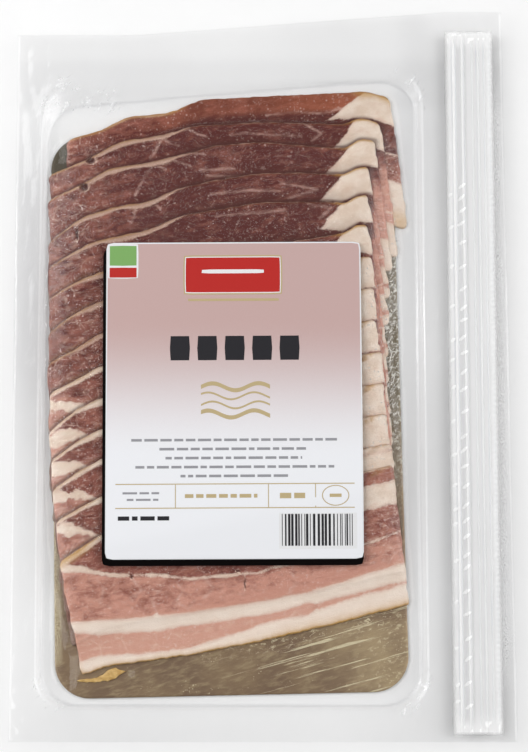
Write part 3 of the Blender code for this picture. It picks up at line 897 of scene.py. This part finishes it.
def rind_material():
    s = Shader("golden_rind")
    streak = s.noise(700.0, 5.0, stretch=(0.5, 1.0, 1.0), turn=0.2)
    colour = s.mix(s.range(streak, 0.3, 0.7), (0.50, 0.29, 0.085), (0.74, 0.50, 0.19))
    colour = s.mix(s.range(s.noise(2500.0, 2.0), 0.62, 0.75), colour, (0.86, 0.70, 0.40))
    return s.surface(Base_Color=colour, Roughness=0.32, Normal=s.bump(streak, 0.6, 0.0006))


# ---------------------------------------------------------------------------- the film
FLANGE = ((-106.5, -158.8), (107.5, -158.8), (105.7, 158.8), (-107.6, 148.2))


def top_edge(x):
    return 158.8 - 10.6 * (1.0 - np.clip((x + 58.0) / 140.0, 0.0, 1.0))


def lip_distance(x, y):
    """Distance in from the pocket's lip."""
    t = (y + 146.3) / 275.0
    bow = 0.5 * (1.0 - (2.0 * t - 1.0) ** 2)
    sides = [x + 95.7 + 0.8 * t + bow, 70.6 - x, y + 146.3,
             128.0 + 5.0 * (x + 96.5) / 167.0 - y]
    return inside_distance(sides, 14.0)


def floor_distance(x, y):
    """Distance in from the line where the pocket's wall meets its floor."""
    t = (y + 143.6) / 265.0
    top = np.interp(x, (-94.0, -60.0, -27.0, 8.0, 35.0, 67.0),
                    (115.5, 118.4, 121.6, 124.3, 127.0, 128.0))
    sides = [x + 93.5 + 1.0 * t, 67.6 - x, y + 143.4, top - y]
    return inside_distance(sides, 16.0)


def film_heights(contents):
    """The upper film, drawn down on the contents, as a height map."""
    x, y = np.meshgrid(GRID_X, GRID_Y, indexing="ij")
    lip = lip_distance(x, y)
    floor = floor_distance(x, y)
    held = np.maximum(widened(contents) + RELIEF, BOARD_BOTTOM)
    wall_share = np.clip(lip / np.maximum(lip - floor, 0.4), 0.0, 1.0)
    wall = FLANGE_TOP - (FLANGE_TOP - 1.0) * smoothstep(wall_share)
    ground = np.where(lip <= 0.0, FLANGE_TOP, np.where(floor < 0.0, wall, 0.9))
    held = np.maximum(held, ground)
    level = held
    fixed = lip <= 0.0
    for _ in range(FILM_ROUNDS):
        eased = blur(level, 1) - FILM_PULL
        level = np.where(fixed, FLANGE_TOP, np.maximum(eased, held))
    soft = np.maximum(blur(level, 1), held)
    return np.where(fixed, level, soft) + FILM_GAP


def flange_waves(x, y):
    """Low waves in the margin, deeper towards the corners and the top."""
    lip = lip_distance(x, y)
    out = np.clip(-lip / 8.0, 0.0, 1.0)
    wave = 0.45 * noise(x, y * 0.5, 30.0, 401) + 0.22 * noise(x * 0.6, y, 11.0, 402)
    corner = ramp(np.hypot(x + 100.0, y + 150.0), 42.0, 8.0)
    corner = corner + 0.7 * ramp(np.hypot(x - 74.0, y + 150.0), 40.0, 10.0)
    corner = corner + 0.5 * ramp(np.hypot(x + 100.0, y - 130.0), 36.0, 8.0)
    crease = noise(x - 0.8 * y, x + y, 4.5, 403) + 0.6 * noise(x + 0.7 * y, y, 2.6, 404)
    fold = 0.22 * corner * crease
    left = ramp(x, -94.0, -99.0) * 0.20 * noise(x * 1.5, y * 0.22, 3.2, 405)
    return out * (wave + fold + left)


def film_lines():
    """Grid lines over the pouch as shares, closer where the pocket's walls stand."""
    across = lines((-107.0, -98.5, 1.3), (-98.5, -89.0, 0.62), (-89.0, 62.0, 1.32),
                   (62.0, 73.0, 0.65), (73.0, 106.6, 1.35))
    along = lines((-158.8, -148.0, 1.4), (-148.0, -138.0, 0.72), (-138.0, 112.0, 1.42),
                  (112.0, 134.0, 0.80), (134.0, 158.8, 1.4))
    return ((across - across[0]) / (across[-1] - across[0]),
            (along - along[0]) / (along[-1] - along[0]))


def make_film(material, contents):
    across, along = film_lines()
    u, f = np.meshgrid(across, along, indexing="ij")
    low = FLANGE[0][0] + f * (FLANGE[3][0] - FLANGE[0][0])
    high = FLANGE[1][0] + f * (FLANGE[2][0] - FLANGE[1][0])
    x = low + u * (high - low)
    y = FLANGE[0][1] + f * (top_edge(x) - FLANGE[0][1])
    lip = lip_distance(x, y)
    waves = flange_waves(x, y)
    level = film_heights(contents)
    top = sample(level, x, y) + np.where(lip < 0.0, waves, 0.0)
    pocket = floor_distance(x, y)
    share = np.clip(lip / np.maximum(lip - pocket, 0.4), 0.0, 1.0)
    wall = FLANGE_BOTTOM * (1.0 - smoothstep(share)) + 0.12
    bottom = np.where(lip <= 0.0, FLANGE_BOTTOM + waves, np.where(pocket > 0.0, 0.12, wall))
    contents_under = sample(contents, x, y)
    grip = ramp(contents_under, 1.3, 3.0)
    # shade darkens the film's see-through tint: a random tone, plus painted shade along the left
    # wall, beside the board's right edge, on the slope above the slices and in a thin grey line
    # where the pocket's wall meets its floor.
    shade = 0.5 + 0.5 * noise(x, y, 45.0, 410)
    left = ramp(x, -88.0, -100.0)
    shade = shade * 0.35 + 0.85 * left * ramp(y, -90.0, 20.0) * ramp(y, 140.0, 80.0)
    shade = shade + 0.4 * ramp(x, 56.0, 66.0) * ramp(x, 76.0, 69.0) * ramp(y, -110.0, 0.0)
    shade = shade + 0.35 * ramp(y, 112.0, 120.0) * ramp(y, 140.0, 134.0)
    seam = ramp(np.abs(pocket + 0.35), 0.75, 0.15) \
        * np.maximum(ramp(np.abs(y), 105.0, 118.0), 0.6 * ramp(x, 58.0, 64.0))
    shade = shade + 0.9 * seam
    # Painted glints: white specks where the film clings beside the slices' right ends.
    cling_glint_spots = ramp(x, 43.0, 47.0) * ramp(x, 62.0, 57.0) * ramp(np.abs(y - 12.0), 74.0, 50.0)
    corner = ramp(np.abs(lip - 0.8), 3.4, 0.6) * ramp(np.abs(y + 9.0), 118.0, 134.0)
    glint = corner * ramp(np.abs(x + 12.5), 66.0, 78.0)
    band = ramp(y, 112.0, 117.0) * ramp(y, 127.0, 121.0)
    glint = glint + 0.8 * band * ramp(x, -60.0, -68.0) * ramp(x, -96.0, -88.0)
    knurl = ramp(x, 101.4, 102.4) * ramp(x, 104.9, 104.0) * ramp(np.abs(y + 5.0), 140.0, 110.0)
    look = {"shade": np.clip(shade, 0.0, 1.6), "grip": grip, "knurl": knurl,
            "glint": np.clip(glint, 0.0, 1.0), "cling_glint_spots": cling_glint_spots}
    film = closed_sheet("film_pouch", x, y, top, bottom, look)
    finish_piece(film, material, replaces="pouch")


def film_material():
    s = Shader("clear_film")
    shade = s.attribute("shade")
    grip = s.attribute("grip")
    tint = s.mix(s.range(shade, 0.0, 1.6, kind="LINEAR"), (0.995, 0.995, 0.995),
                 (0.905, 0.905, 0.908))
    clear = s.add("ShaderNodeBsdfTransparent", None, Color=tint).outputs[0]
    wrinkle = s.noise(190.0, 2.0, stretch=(1.0, 0.6, 1.0), turn=0.5, distortion=1.2)
    cling = s.noise(900.0, 3.0)
    height = s.plus(s.times(wrinkle, 0.25),
                    s.times(s.times(cling, grip), 0.6))
    checks = s.cells(1500.0)
    height = s.plus(height, s.times(checks, s.attribute("knurl")))
    normal = s.bump(height, 0.7, 0.0008)
    gloss = s.add("ShaderNodeBsdfGlossy", None, Color=(1.0, 1.0, 1.0, 1.0), Roughness=0.10,
                  Normal=normal).outputs[0]
    haze = s.add("ShaderNodeBsdfDiffuse", None, Color=(0.98, 0.98, 0.99, 1.0),
                 Normal=normal).outputs[0]
    dots = s.times(s.range(checks, 0.45, 0.15), s.attribute("knurl"))
    # Painted glints: white streaks near the lip's corners and in a band at the upper left.
    streaks = s.noise(520.0, 4.0, stretch=(1.0, 0.35, 1.0), turn=0.7, distortion=1.0)
    streaks = s.times(s.range(streaks, 0.60, 0.66), s.attribute("glint"))
    cover = s.math("MULTIPLY_ADD", dots, 0.35, c=0.006)
    cover = s.most(cover, s.times(streaks, 0.85))
    # Painted glints: white specks where the film clings to the contents beside the slices' right
    # ends.
    specks = s.times(s.range(s.noise(1250.0, 3.0), 0.60, 0.68), s.attribute("cling_glint_spots"))
    specks = s.times(specks, s.range(s.noise(150.0, 2.0), 0.38, 0.56))
    cover = s.most(cover, s.times(specks, 0.55))
    milky = s.add("ShaderNodeMixShader", None, Fac=cover, i1=clear, i2=haze).outputs[0]
    share = s.gloss_share(normal, 0.028)
    skin = s.add("ShaderNodeMixShader", None, Fac=share, i1=milky, i2=gloss).outputs[0]
    return s.close(skin)


# --------------------------------------------------------------------------- the label
LABEL_CENTRE = (-11.9, -14.2)
LABEL_HALF = (54.8, 68.2)
LABEL_RADIUS = 2.3
LABEL_TURN = math.radians(0.32)
BACKING_CENTRE = (-12.6, -16.9)
BACKING_HALF = (55.5, 68.2)
LAST_EDGE_FROM = (-79.4, -80.0)      # where the label starts to follow the last slice
LAST_EDGE_TO = (61.6, -50.6)


def on_label(x, y):
    """Turns points about the label's centre as the label is turned."""
    across = x - LABEL_CENTRE[0]
    along = y - LABEL_CENTRE[1]
    cos, sin = math.cos(LABEL_TURN), math.sin(LABEL_TURN)
    return (LABEL_CENTRE[0] + across * cos - along * sin,
            LABEL_CENTRE[1] + across * sin + along * cos)


def label_sag(x, y):
    """How far the label has bent down, in mm, at a place on it."""
    run = Vector(LAST_EDGE_TO) - Vector(LAST_EDGE_FROM)
    run.normalize()
    below = (x - LAST_EDGE_FROM[0]) * run.y - (y - LAST_EDGE_FROM[1]) * run.x
    return LABEL_SLOPE * np.maximum(below, 0.0)


def label_sheet(name, centre, half, radius, level, thickness, material,
                counts=(40, 60), replaces=None):
    """A thin sheet on the label, bent as the label bends."""
    x, y = rounded_grid(centre, half, radius, 0.0, even_lines(counts[0], 0.992),
                        even_lines(counts[1], 0.992))
    x, y = on_label(x, y)
    bottom = level - label_sag(x, y)
    sheet = closed_sheet(name, x, y, bottom + thickness, bottom, sharp=35)
    return finish_piece(sheet, material, replaces=replaces)


def ink_material(name, colour, rough=0.42, mottle=0.06, mirror=0.4):
    """Printed ink with the faint unevenness of a press."""
    s = Shader(name)
    dots = s.noise(5200.0, 2.0)
    cloud = s.noise(90.0, 3.0)
    darker = tuple(c * (1.0 - mottle) for c in colour)
    lighter = tuple(min(1.0, c * (1.0 + 0.5 * mottle) + 0.002) for c in colour)
    ink = s.mix(s.range(dots, 0.35, 0.65), darker, lighter)
    ink = s.mix(s.range(cloud, 0.4, 0.7, 0.0, 0.25), ink, lighter)
    return s.surface(Base_Color=ink, Roughness=rough, Specular_IOR_Level=mirror,
                     Normal=s.bump(dots, 0.06, 0.0001))


def label_print_material():
    """Old-rose ink at the top that fades to white below the middle."""
    s = Shader("label_print")
    along = s.add("ShaderNodeSeparateXYZ", None, Vector=s.place).outputs[1]
    fade = s.range(along, -0.042, 0.022)
    grain = s.noise(4200.0, 2.0)
    fade = s.math("ADD", fade, s.range(grain, 0.3, 0.7, -0.035, 0.035, "LINEAR"), True)
    colour = s.mix(fade, (0.840, 0.850, 0.880), (0.545, 0.375, 0.355))
    return s.surface(Base_Color=colour, Roughness=0.40, Normal=s.bump(grain, 0.05, 0.0001))


PRINT_LEVEL = LABEL_LEVEL + CARD + CARD_GAP + CARD
PRINT = 0.03


def make_label():
    white = ink_material("card_white", (0.80, 0.81, 0.83))
    black = ink_material("backing_black", (0.002, 0.001, 0.001), rough=0.30, mottle=0.3,
                         mirror=0.1)
    label_sheet("label_backing_card", BACKING_CENTRE, BACKING_HALF, LABEL_RADIUS, LABEL_LEVEL,
                CARD, black, replaces="label_backing")
    label_sheet("label_card", LABEL_CENTRE, LABEL_HALF, LABEL_RADIUS,
                LABEL_LEVEL + CARD + CARD_GAP, CARD - PRINT, white, replaces="label")
    label_sheet("print_field", LABEL_CENTRE, (LABEL_HALF[0] - 0.55, LABEL_HALF[1] - 0.55),
                LABEL_RADIUS - 0.5, PRINT_LEVEL - PRINT, PRINT, label_print_material())


def print_block(name, centre, half, material, layer=1, radius=0.0):
    """A flat printed shape, a given number of ink layers above the card."""
    counts = tuple(max(2, int(size / 1.5)) for size in half)
    label_sheet(name, centre, half, max(radius, 0.02), PRINT_LEVEL + (layer - 1) * PRINT,
                PRINT, material, counts=counts)


def make_print():
    """Plain fields, bars and rules where the pack's print sits, all without lettering."""
    white = ink_material("ink_white", (0.80, 0.80, 0.81))
    red = ink_material("ink_red", (0.480, 0.016, 0.012))
    gold = ink_material("ink_gold", (0.500, 0.395, 0.215))
    green = ink_material("ink_green", (0.200, 0.400, 0.120))
    black = ink_material("ink_black", (0.013, 0.012, 0.016))
    grey = ink_material("ink_grey", (0.300, 0.300, 0.320))
    print_block("badge_plate", (-59.5, 45.9), (6.6, 7.6), white, 1, 0.8)
    print_block("badge_upper", (-59.5, 48.3), (5.9, 4.4), green, 2, 0.5)
    print_block("badge_lower", (-59.5, 40.9), (5.9, 2.2), red, 2, 0.3)
    print_block("panel_edge", (-12.2, 39.7), (21.3, 8.6), gold, 1, 0.9)
    print_block("panel_line", (-12.2, 39.7), (20.7, 8.0), white, 2, 0.7)
    print_block("panel_field", (-12.2, 39.7), (20.3, 7.6), red, 3, 0.6)
    print_block("panel_bar", (-12.2, 41.2), (13.6, 0.85), white, 4, 0.8)
    print_block("tag_line", (-12.0, 28.8), (19.6, 0.55), gold, 1, 0.3)
    for n in range(5):
        print_block(f"title_block_{n + 1}", (-35.0 + 11.75 * n, 7.8), (4.3, 5.6), black, 1, 1.2)
    make_rasher_icon(gold)
    for n, (left, right) in enumerate(((-55.8, 32.0), (-43.8, 20.1), (-41.2, 17.1),
                                       (-54.0, 30.7), (-34.8, 11.1))):
        dashes(f"small_print_{n + 1}", left, right, -31.8 - 3.85 * n, 0.62, grey, 500 + n)
    for n, y in enumerate((-50.6, -60.8)):
        print_block(f"rule_{n + 1}", (-11.6, y), (50.8, 0.22), gold)
    for n, x in enumerate((-36.9, 2.6, 22.6)):
        print_block(f"divider_{n + 1}", (x, -55.7), (0.18, 5.0), gold)
    dashes("cell_marks_1", -59.4, -42.2, -54.4, 0.5, grey, 511)
    dashes("cell_marks_2", -57.6, -43.6, -57.2, 0.5, grey, 512)
    dashes("cell_marks_3", -33.0, -2.0, -55.7, 0.9, gold, 513)
    dashes("cell_marks_4", 7.3, 18.3, -55.7, 1.3, gold, 514)
    dashes("keep_marks", -61.4, -39.4, -65.1, 1.0, black, 515)
    make_oval_ring(gold)
    make_bars(black, white)


def dashes(name, left, right, y, half_height, material, seed):
    """A broken line, as small print reads from afar."""
    rng = np.random.default_rng(seed)
    x = left
    pieces = []
    while x < right - 0.6:
        length = min(rng.uniform(2.2, 6.5), right - x)
        pieces.append((x + 0.5 * length, 0.5 * length))
        x += length + 0.95
    for n, (centre, half) in enumerate(pieces):
        print_block(f"{name}_{n + 1:02d}", (centre, y), (half, half_height), material, 1,
                    0.4 * half_height)


def make_rasher_icon(material):
    """A plain line drawing of two wavy rashers."""
    for n in range(4):
        u, f = np.meshgrid(np.linspace(0.0, 1.0, 70), np.linspace(-1.0, 1.0, 4), indexing="ij")
        x = -26.0 + 29.5 * u
        middle = -9.0 - 3.9 * n + 1.5 * np.sin(u * 3.0 * math.pi + 0.6 * (n % 2))
        half = 0.42 if n % 3 else 0.9
        x, y = on_label(x, middle + f * half)
        bottom = PRINT_LEVEL - label_sag(x, y)
        stripe = closed_sheet(f"rasher_icon_{n + 1}", x, y, bottom + PRINT, bottom, sharp=35)
        finish_piece(stripe, material)


def make_oval_ring(material):
    u, f = np.meshgrid(np.linspace(0.0, 1.0, 72), np.linspace(-1.0, 1.0, 3), indexing="ij")
    angle = 2.0 * math.pi * u * 0.9999
    x = 31.1 + (5.6 + 0.2 * f) * np.cos(angle)
    y = -55.7 - (4.2 + 0.2 * f) * np.sin(angle)
    x, y = on_label(x, y)
    bottom = PRINT_LEVEL - label_sag(x, y)
    ring = closed_sheet("oval_ring", x, y, bottom + PRINT, bottom, sharp=35)
    finish_piece(ring, material)
    print_block("oval_mark", (31.1, -55.7), (2.6, 0.8), material, 1, 0.3)


def make_bars(black, white):
    """A row of bars of made-up widths on a white field, with no numbers."""
    print_block("bar_field", (23.6, -70.6), (16.6, 7.6), white, 1, 0.3)
    rng = np.random.default_rng(77)
    x = 8.2
    n = 0
    while x < 38.6:
        width = 0.33 * rng.integers(1, 4)
        n += 1
        print_block(f"bar_{n:02d}", (x + 0.5 * width, -70.2), (0.5 * width, 6.7), black, 2)
        x += width + 0.33 * rng.integers(1, 4)


# ----------------------------------------------------------------------------- the zip
ZIP_Y = (-156.0, 150.0)
ZIP_RIDGES = ((84.5, 0.75, 1.2), (88.2, 0.75, 1.2), (92.5, 0.35, 0.5), (95.1, 0.35, 0.5),
              (97.7, 0.35, 0.5))
ZIP_CRIMP = 10.0            # length of the flattened ends
ZIP_TOP = 5.45              # between the ridges
ZIP_BOTTOM = 5.02
ZIP_LINES = (               # painted reflections: x, half width and strength of the dark lines along the ridges
    (83.3, 0.35, 0.8), (84.9, 0.35, 1.0), (86.3, 0.30, 0.35), (88.5, 0.35, 0.6),
    (92.2, 0.30, 0.5), (94.1, 0.30, 0.8), (95.1, 0.25, 0.5), (97.4, 0.30, 0.7),
    (99.9, 0.30, 0.5), (100.8, 0.25, 0.3),
)


def make_zip(material):
    """The press-to-close strip: two locking ridges, fine ribs and flattened ends."""
    across = lines((80.0, 81.0, 0.4), (81.0, 89.3, 0.19), (89.3, 91.8, 0.5),
                   (91.8, 101.2, 0.26), (101.2, 102.0, 0.4))
    along = lines((-156.0, -140.0, 0.8), (-140.0, 136.0, 0.62), (136.0, 150.0, 0.7))
    x, y = np.meshgrid(across, along, indexing="ij")
    ends = np.minimum(y - ZIP_Y[0], ZIP_Y[1] - y)
    rise = 0.15 + 0.85 * ramp(ends, 2.0, ZIP_CRIMP)
    top = np.full_like(x, ZIP_TOP)
    for centre, half, height in ZIP_RIDGES:
        top = top + height * rise * ramp(np.abs(x - centre), half, 0.45 * half)
    flat = ramp(ends, ZIP_CRIMP, 3.0)
    top = top + flat * (0.18 * noise(x * 2.0, y, 1.7, 601) + 0.12)
    teeth = ramp(np.abs(x - 100.4), 1.3, 0.9) * 0.12 * np.sign(np.sin(y * 2.0 * math.pi / 2.4))
    wavy = 0.06 * noise(x, y, 8.0, 602)
    top = top + (teeth + wavy) * rise
    # Painted sparkle: white patches on the flattened ends.
    painted_glint = flat * ramp(noise(x * 1.6, y, 1.8, 603), 0.25, 0.6)
    painted_glint, lift = add_leaves(x, y, painted_glint)
    line = np.zeros_like(x)
    for centre, width, depth in ZIP_LINES:
        faded = 0.55 + 0.45 * noise(x * 0, y, 22.0, int(600 + centre))
        line = np.maximum(line, depth * faded * ramp(np.abs(x - centre), width, 0.3 * width))
    solid = ramp(x, 80.0, 83.0) * ramp(x, 102.0, 99.6) * ramp(ends, 0.0, 1.5)
    look = {"painted_glint": painted_glint, "line": line * (1.0 - flat), "solid": solid}
    strip = closed_sheet("zip_band", x, y, top + lift, np.full_like(x, ZIP_BOTTOM), look)
    finish_piece(strip, material, replaces="zip_strip")


def add_leaves(x, y, painted_glint):
    """Small leaf-shaped dents in two columns along the ridges, with painted glints, white patches,
    on their faces.
    """
    lift = np.zeros_like(x)
    rng = np.random.default_rng(64)
    spots = []
    for column, first, closest, farthest in ((86.9, 80.0, 5.0, 11.0), (82.3, 76.0, 6.0, 20.0)):
        y0 = first
        while y0 > -145.0:
            spots.append((column + rng.uniform(-0.4, 0.4), y0, rng.uniform(0.35, 0.8)))
            y0 -= rng.uniform(closest, farthest)
    for cx, cy, turn in spots:
        along = (x - cx) * math.cos(turn) + (y - cy) * math.sin(turn)
        across = -(x - cx) * math.sin(turn) + (y - cy) * math.cos(turn)
        reach = 2.2 if cx > 85.0 else 1.5
        leaf = ramp(np.hypot(along / reach, across / 0.78), 1.1, 0.65)
        painted_glint = np.maximum(painted_glint, leaf)
        lift = lift + 0.12 * leaf
    return painted_glint, lift


def zip_material():
    s = Shader("clear_zip")
    painted_glint = s.attribute("painted_glint")
    grain = s.noise(1300.0, 3.0, stretch=(1.0, 0.35, 1.0))
    # Painted reflections: the ridges' dark lines darken the clear tint and the white.
    tint = s.mix(s.attribute("line"), (0.998, 0.998, 0.999), (0.930, 0.940, 0.955))
    clear = s.add("ShaderNodeBsdfTransparent", None, Color=tint).outputs[0]
    normal = s.bump(grain, 0.25, 0.0003)
    gloss = s.add("ShaderNodeBsdfGlossy", None, Roughness=0.12, Normal=normal).outputs[0]
    pale = s.mix(s.attribute("line"), (0.985, 0.985, 0.985), (0.770, 0.790, 0.830))
    # Painted glints: white on the leaves and the flattened ends.
    pale = s.mix(s.range(painted_glint, 0.3, 0.8), pale, (1.0, 1.0, 1.0))
    white = s.add("ShaderNodeBsdfDiffuse", None, Color=pale,
                  Normal=normal).outputs[0]
    cover = s.times(s.range(painted_glint, 0.2, 0.9, 0.74, 1.0), s.attribute("solid"))
    body = s.add("ShaderNodeMixShader", None, Fac=cover, i1=clear, i2=white).outputs[0]
    share = s.gloss_share(normal, 0.008)
    return s.close(s.add("ShaderNodeMixShader", None, Fac=share, i1=body, i2=gloss).outputs[0])


# --------------------------------------------------------- floor, light and the camera
def make_floor():
    x, y = np.meshgrid(np.linspace(-1500.0, 1500.0, 24), np.linspace(-1500.0, 1500.0, 24),
                       indexing="ij")
    floor = closed_sheet("floor", x, y, np.zeros_like(x), np.full_like(x, -20.0), sharp=40)
    s = Shader("pale_floor")
    grain = s.noise(60.0, 3.0)
    colour = s.mix(s.range(grain, 0.3, 0.7), (0.925, 0.925, 0.925), (0.935, 0.935, 0.935))
    floor.data.materials.append(s.surface(Base_Color=colour, Roughness=0.9))


LIGHTS = (                  # name, place in metres, width and height, watts
    ("left_box", (-0.95, 0.20, 0.85), (1.2, 1.4), 11.1),
    ("right_box", (0.95, 0.10, 0.85), (1.2, 1.4), 8.9),
    ("left_strip", (-0.80, 0.20, 0.46), (0.05, 0.9), 1.3),
    ("right_strip", (0.80, 0.10, 0.46), (0.05, 0.9), 0.35),
)


def add_light(name, place, size, power):
    data = bpy.data.lights.new(name, "AREA")
    data.shape = "RECTANGLE"
    data.size, data.size_y = size
    data.energy = power
    lamp = bpy.data.objects.new(name, data)
    lamp.location = place
    lamp.rotation_euler = (-Vector(place)).to_track_quat("-Z", "Y").to_euler()
    bpy.context.scene.collection.objects.link(lamp)


def shade_world(tree):
    """A studio that is bright at both sides and dark overhead, where film would mirror it."""
    place = tree.nodes.new("ShaderNodeTexCoord").outputs["Generated"]
    split = tree.nodes.new("ShaderNodeSeparateXYZ")
    tree.links.new(place, split.inputs[0])
    sideways = tree.nodes.new("ShaderNodeMath")
    sideways.operation = "ABSOLUTE"
    tree.links.new(split.outputs[0], sideways.inputs[0])
    level = tree.nodes.new("ShaderNodeMapRange")
    level.interpolation_type = "SMOOTHSTEP"
    for key, value in (("From Min", 0.15), ("From Max", 0.75), ("To Min", 0.05), ("To Max", 0.68)):
        level.inputs[key].default_value = value
    tree.links.new(sideways.outputs[0], level.inputs["Value"])
    background = tree.nodes["Background"]
    background.inputs["Color"].default_value = (1.0, 1.0, 1.0, 1.0)
    tree.links.new(level.outputs[0], background.inputs["Strength"])


def make_lights():
    world = bpy.data.worlds.new("studio")
    world.use_nodes = True
    shade_world(world.node_tree)
    bpy.context.scene.world = world
    for settings in LIGHTS:
        add_light(*settings)
    bpy.context.scene.view_settings.view_transform = "Standard"


CAMERA_TARGET = Vector((0.00093, -0.00377, 0.006))
CAMERA_SIDE = Vector((0.0, -0.13975, 0.99019))
CAMERA_DISTANCE = 0.860
CAMERA_LENS = 136.36


def make_camera():
    """Looks down at the pack from a little below its middle, as a pack shot does."""
    data = bpy.data.cameras.new("camera")
    data.sensor_fit = "HORIZONTAL"
    data.sensor_width = 36.0
    data.lens = CAMERA_LENS
    camera = bpy.data.objects.new("camera", data)
    camera.location = CAMERA_TARGET + CAMERA_DISTANCE * CAMERA_SIDE
    camera.rotation_euler = (CAMERA_TARGET - camera.location).to_track_quat("-Z", "Y").to_euler()
    bpy.context.scene.collection.objects.link(camera)
    bpy.context.scene.camera = camera


def main():
    make_camera()
    make_lights()
    make_floor()
    make_board(board_material())
    x, y = np.meshgrid(GRID_X, GRID_Y, indexing="ij")
    contents = np.where(board_sides(x, y) > 0.0, BOARD_TOP + 0.1, 0.0)
    contents = make_slices(meat_material(), contents)
    make_rind_flake(rind_material())
    make_film(film_material(), raised_by_flake(contents))
    make_label()
    make_print()
    make_zip(zip_material())


main()
